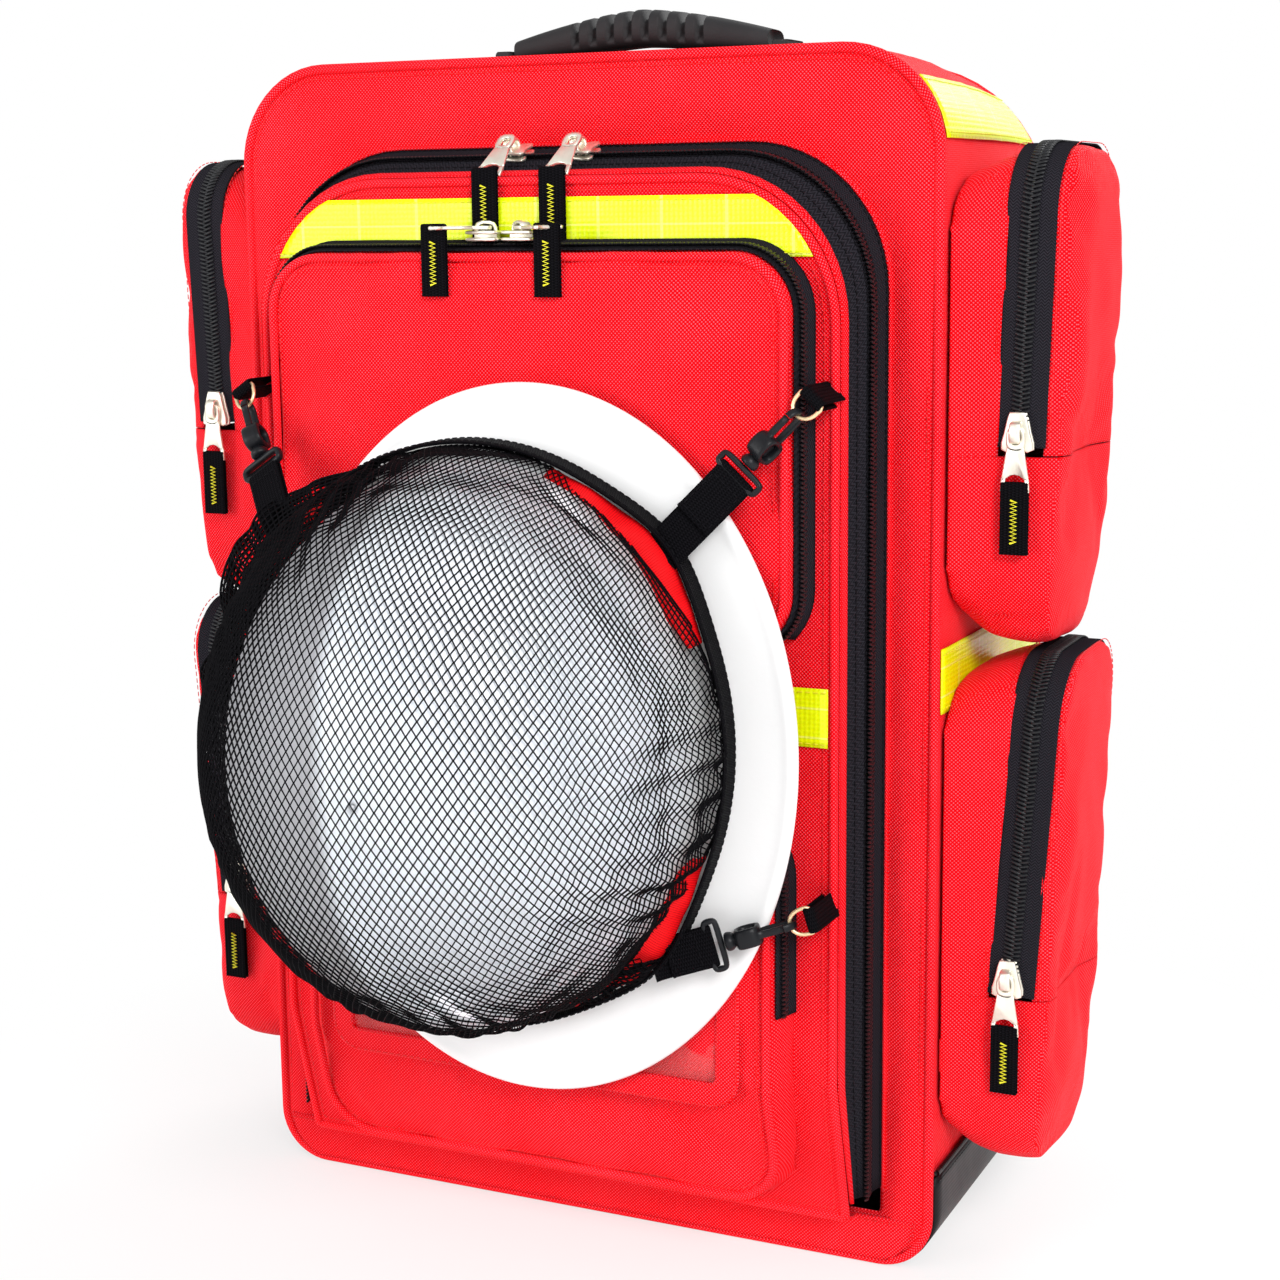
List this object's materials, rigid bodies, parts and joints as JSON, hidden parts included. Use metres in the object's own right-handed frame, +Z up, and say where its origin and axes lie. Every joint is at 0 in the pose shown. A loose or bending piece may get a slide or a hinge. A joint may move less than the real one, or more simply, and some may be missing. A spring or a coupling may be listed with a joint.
{
  "type": "trauma backpack",
  "caption": "Boxy first responder backpack with an arched zipped front lid, zipped side pockets, reflective bands, a top grab handle and a helmet held in a front net.",
  "frame": {"origin": "centre of the base on the ground", "axes": "+X to the right of the pack seen from the front, +Y from the front to the wearer's back, +Z up"},
  "size_m": [0.447, 0.4403, 0.555],
  "materials": {
    "red_fabric": "coarse dobby woven nylon, coated, slight sheen",
    "black_webbing": "ribbed nylon webbing",
    "zip_tape": "woven zip tape with nylon coil",
    "yellow_tape": "fluorescent yellow reflective vinyl tape",
    "black_tarpaulin": "smooth coated tarpaulin, satin",
    "black_padding": "air mesh over foam",
    "nickel": "nickel-plated die cast, satin gloss",
    "black_plastic": "moulded acetal, fine satin",
    "black_rubber": "moulded rubber, matt",
    "clear_vinyl": "clear PVC film",
    "helmet_white": "smooth white shell, satin gloss",
    "net_mesh": "open diamond mesh",
    "grey_lining": "padded lining fabric"
  },
  "bodies": {
    "pack": {"front_border": "red_fabric", "main_gusset": "red_fabric", "base_gusset": "red_fabric", "back_panel": "black_padding", "base_tub": "black_tarpaulin", "piping": "red_fabric", "main_zip_tape": "zip_tape", "side_zip_tapes": "zip_tape", "inner_shelves": "grey_lining", "side_strips": "yellow_tape", "back_pads": "black_padding", "shoulder_straps": "black_padding", "strap_webbing": "black_webbing", "strap_hardware": "black_plastic", "handle_anchors": "black_rubber", "side_pocket_upper_right": "red_fabric", "side_pocket_upper_left": "red_fabric", "side_pocket_lower_right": "red_fabric", "side_pocket_lower_left": "red_fabric"},
    "front_lid": {"lid_shell": "red_fabric", "lid_bands": "yellow_tape", "front_pocket_upper": "red_fabric", "front_pocket_lower": "red_fabric", "front_pocket_zips": "zip_tape", "document_window": "clear_vinyl", "d_rings": "nickel", "net_straps": "black_webbing", "net_rim": "black_webbing", "helmet_net": "net_mesh", "helmet": "helmet_white"},
    "handle": {"handle_grip": "black_rubber"},
    "side_flap_upper_right": {"side_flap_upper_right": "red_fabric"},
    "side_slider_upper_right": {"side_slider_upper_right": "nickel"},
    "side_pull_upper_right": {"side_pull_upper_right": "nickel"},
    "side_flap_upper_left": {"side_flap_upper_left": "red_fabric"},
    "side_slider_upper_left": {"side_slider_upper_left": "nickel"},
    "side_pull_upper_left": {"side_pull_upper_left": "nickel"},
    "side_flap_lower_right": {"side_flap_lower_right": "red_fabric"},
    "side_slider_lower_right": {"side_slider_lower_right": "nickel"},
    "side_pull_lower_right": {"side_pull_lower_right": "nickel"},
    "side_flap_lower_left": {"side_flap_lower_left": "red_fabric"},
    "side_slider_lower_left": {"side_slider_lower_left": "nickel"},
    "side_pull_lower_left": {"side_pull_lower_left": "nickel"},
    "main_slider_left": {"main_slider_left": "nickel"},
    "main_pull_left": {"main_pull_left": "nickel"},
    "main_slider_right": {"main_slider_right": "nickel"},
    "main_pull_right": {"main_pull_right": "nickel"},
    "front_slider_left": {"front_slider_left": "nickel"},
    "front_pull_left": {"front_pull_left": "nickel"},
    "front_slider_right": {"front_slider_right": "nickel"},
    "front_pull_right": {"front_pull_right": "nickel"},
    "lower_pocket_slider": {"lower_pocket_slider": "nickel"},
    "hook_upper_right": {"hook_upper_right": "black_plastic"},
    "hook_gate_upper_right": {"hook_gate_upper_right": "black_plastic"},
    "hook_lower_right": {"hook_lower_right": "black_plastic"},
    "hook_gate_lower_right": {"hook_gate_lower_right": "black_plastic"},
    "hook_upper_left": {"hook_upper_left": "black_plastic"},
    "hook_gate_upper_left": {"hook_gate_upper_left": "black_plastic"},
    "hook_lower_left": {"hook_lower_left": "black_plastic"},
    "hook_gate_lower_left": {"hook_gate_lower_left": "black_plastic"}
  },
  "joints": [
    {"name": "lid_hinge", "type": "hinge", "parent": "pack", "child": "front_lid", "pos_m": [0, -0.0845, 0.027], "axis": [1, 0, 0], "range_deg": [0, 90]},
    {"name": "handle_tilt", "type": "hinge", "parent": "pack", "child": "handle", "pos_m": [0, 0, 0.5346], "axis": [1, 0, 0], "range_deg": [-35, 35]},
    {"name": "flap_upper_right_fold", "type": "hinge", "parent": "pack", "child": "side_flap_upper_right", "pos_m": [0.2238, 0, 0.3623], "axis": [0, 1, 0], "range_deg": [0, 110]},
    {"name": "zip_upper_right_slide", "type": "slide", "parent": "pack", "child": "side_slider_upper_right", "axis": [0, 0, 1], "range_m": [0, 0.075]},
    {"name": "pull_upper_right_swing", "type": "hinge", "parent": "side_slider_upper_right", "child": "side_pull_upper_right", "pos_m": [0.1985, -0.074, 0.3725], "axis": [-1, 0, 0], "range_deg": [0, 150]},
    {"name": "flap_upper_left_fold", "type": "hinge", "parent": "pack", "child": "side_flap_upper_left", "pos_m": [-0.2238, 0, 0.3623], "axis": [0, -1, 0], "range_deg": [0, 110]},
    {"name": "zip_upper_left_slide", "type": "slide", "parent": "pack", "child": "side_slider_upper_left", "axis": [0, 0, 1], "range_m": [0, 0.075]},
    {"name": "pull_upper_left_swing", "type": "hinge", "parent": "side_slider_upper_left", "child": "side_pull_upper_left", "pos_m": [-0.1985, -0.074, 0.3725], "axis": [-1, 0, 0], "range_deg": [0, 150]},
    {"name": "flap_lower_right_fold", "type": "hinge", "parent": "pack", "child": "side_flap_lower_right", "pos_m": [0.2238, 0, 0.1273], "axis": [0, 1, 0], "range_deg": [0, 110]},
    {"name": "zip_lower_right_slide", "type": "slide", "parent": "pack", "child": "side_slider_lower_right", "axis": [0, 0, 1], "range_m": [0, 0.1]},
    {"name": "pull_lower_right_swing", "type": "hinge", "parent": "side_slider_lower_right", "child": "side_pull_lower_right", "pos_m": [0.1985, -0.074, 0.1375], "axis": [-1, 0, 0], "range_deg": [0, 150]},
    {"name": "flap_lower_left_fold", "type": "hinge", "parent": "pack", "child": "side_flap_lower_left", "pos_m": [-0.2238, 0, 0.1273], "axis": [0, -1, 0], "range_deg": [0, 110]},
    {"name": "zip_lower_left_slide", "type": "slide", "parent": "pack", "child": "side_slider_lower_left", "axis": [0, 0, 1], "range_m": [0, 0.1]},
    {"name": "pull_lower_left_swing", "type": "hinge", "parent": "side_slider_lower_left", "child": "side_pull_lower_left", "pos_m": [-0.1985, -0.074, 0.1375], "axis": [-1, 0, 0], "range_deg": [0, 150]},
    {"name": "main_zip_left_slide", "type": "slide", "parent": "front_lid", "child": "main_slider_left", "axis": [-1, 0, 0], "range_m": [0, 0.065]},
    {"name": "main_pull_left_swing", "type": "hinge", "parent": "main_slider_left", "child": "main_pull_left", "pos_m": [-0.021, -0.09612, 0.49231], "axis": [-1, 0, 0], "range_deg": [0, 110]},
    {"name": "main_zip_right_slide", "type": "slide", "parent": "front_lid", "child": "main_slider_right", "axis": [1, 0, 0], "range_m": [0, 0.065]},
    {"name": "main_pull_right_swing", "type": "hinge", "parent": "main_slider_right", "child": "main_pull_right", "pos_m": [0.011, -0.09612, 0.49231], "axis": [-1, 0, 0], "range_deg": [0, 110]},
    {"name": "front_zip_left_slide", "type": "slide", "parent": "front_lid", "child": "front_slider_left", "axis": [-1, 0, 0], "range_m": [0, 0.05]},
    {"name": "front_pull_left_swing", "type": "hinge", "parent": "front_slider_left", "child": "front_pull_left", "pos_m": [-0.018, -0.126, 0.45763], "axis": [-0.5592, 0.829, 0], "range_deg": [0, 85]},
    {"name": "front_zip_right_slide", "type": "slide", "parent": "front_lid", "child": "front_slider_right", "axis": [1, 0, 0], "range_m": [0, 0.05]},
    {"name": "front_pull_right_swing", "type": "hinge", "parent": "front_slider_right", "child": "front_pull_right", "pos_m": [-0.001, -0.126, 0.45763], "axis": [-0.5592, -0.829, 0], "range_deg": [0, 85]},
    {"name": "lower_pocket_zip_slide", "type": "slide", "parent": "front_lid", "child": "lower_pocket_slider", "axis": [1, 0, 0], "range_m": [0, 0.05]},
    {"name": "hook_upper_right_swivel", "type": "hinge", "parent": "front_lid", "child": "hook_upper_right", "pos_m": [0.1345, -0.1395, 0.39], "axis": [-0.6574, -0.2519, -0.7102], "range_deg": [-12, 12]},
    {"name": "hook_gate_upper_right_spring", "type": "hinge", "parent": "hook_upper_right", "child": "hook_gate_upper_right", "pos_m": [0.11911, -0.14916, 0.37529], "axis": [-0.7508, 0.2991, 0.589], "range_deg": [0, 14], "stiffness_Nm_per_rad": 0.02},
    {"name": "hook_lower_right_swivel", "type": "hinge", "parent": "front_lid", "child": "hook_lower_right", "pos_m": [0.1345, -0.1395, 0.176], "axis": [-0.9037, -0.3225, -0.2815], "range_deg": [-12, 12]},
    {"name": "hook_gate_lower_right_spring", "type": "hinge", "parent": "hook_lower_right", "child": "hook_gate_lower_right", "pos_m": [0.11501, -0.15089, 0.16993], "axis": [-0.2974, 0, 0.9547], "range_deg": [0, 14], "stiffness_Nm_per_rad": 0.02},
    {"name": "hook_upper_left_swivel", "type": "hinge", "parent": "front_lid", "child": "hook_upper_left", "pos_m": [-0.1345, -0.1395, 0.388], "axis": [0.4999, -0.4366, -0.7479], "range_deg": [-12, 12]},
    {"name": "hook_gate_upper_left_spring", "type": "hinge", "parent": "hook_upper_left", "child": "hook_gate_upper_left", "pos_m": [-0.12289, -0.15314, 0.37297], "axis": [-0.8657, -0.278, -0.4163], "range_deg": [0, 14], "stiffness_Nm_per_rad": 0.02},
    {"name": "hook_lower_left_swivel", "type": "hinge", "parent": "front_lid", "child": "hook_lower_left", "pos_m": [-0.1345, -0.1395, 0.156], "axis": [0.8707, -0.4442, -0.2112], "range_deg": [-12, 12]},
    {"name": "hook_gate_lower_left_spring", "type": "hinge", "parent": "hook_lower_left", "child": "hook_gate_lower_left", "pos_m": [-0.11629, -0.15348, 0.15158], "axis": [-0.2357, 0, -0.9718], "range_deg": [0, 14], "stiffness_Nm_per_rad": 0.02}
  ]
}
